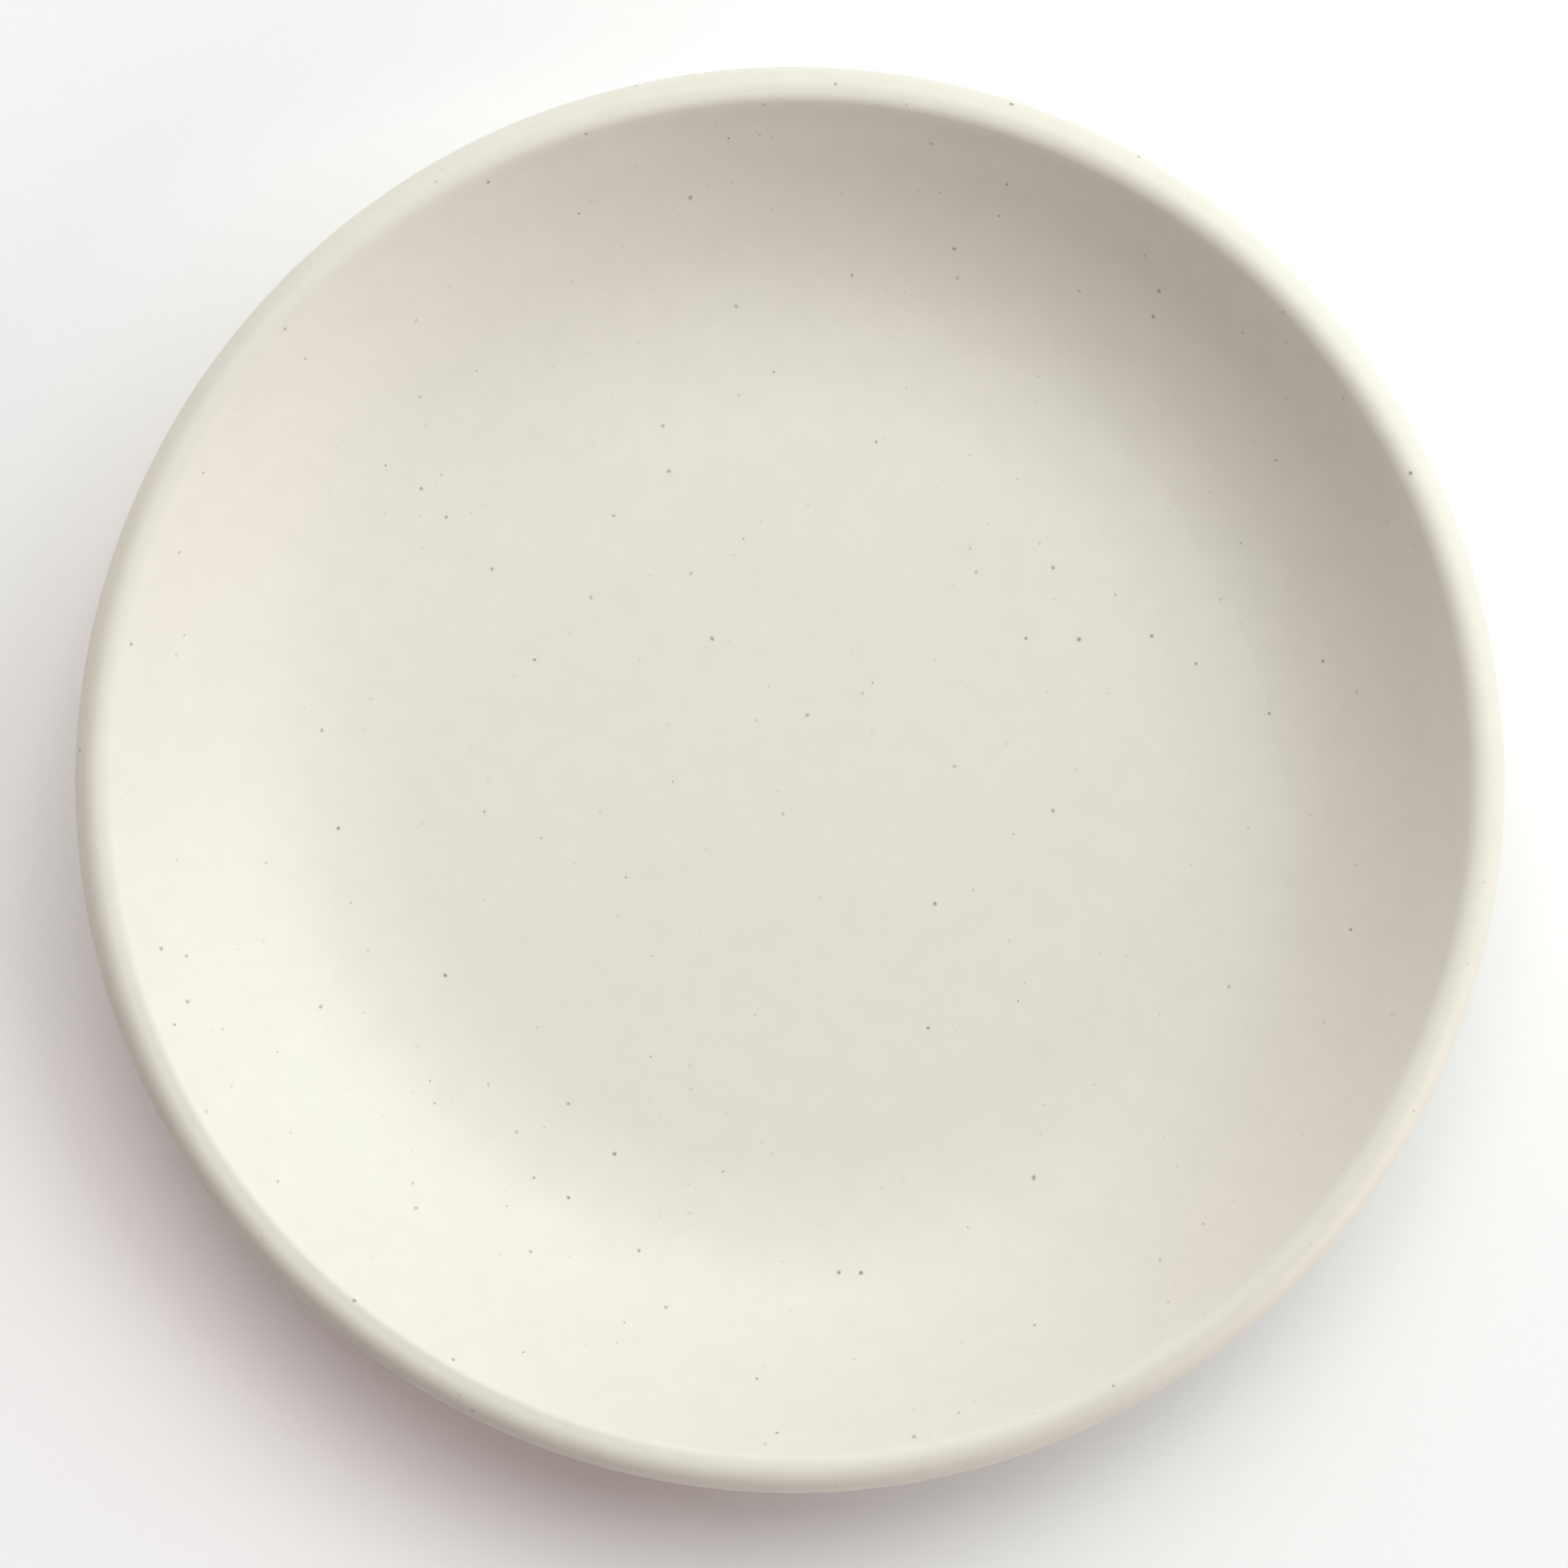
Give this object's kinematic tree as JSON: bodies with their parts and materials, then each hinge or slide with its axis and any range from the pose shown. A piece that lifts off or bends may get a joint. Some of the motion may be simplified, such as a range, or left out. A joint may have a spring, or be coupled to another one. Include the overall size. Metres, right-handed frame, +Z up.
{
  "type": "shallow stoneware dish",
  "caption": "Shallow round stoneware dish with a flat floor, flared wall, thick rolled lip and bare foot ring, in a speckled cream glaze.",
  "frame": {"origin": "centre of the plane that the foot ring rests on", "axes": "+Z up along the dish's axis of symmetry; +X and +Y are any two directions across it"},
  "size_m": [0.2, 0.2, 0.0278],
  "materials": {
    "clay": "bare fired stoneware, fine and sandy, warm buff",
    "glaze": "satin matte cream glaze with fine iron specks"
  },
  "bodies": {
    "root": {"stoneware_body": "clay", "glaze_coat": "glaze", "base_glaze": "glaze"}
  },
  "joints": []
}
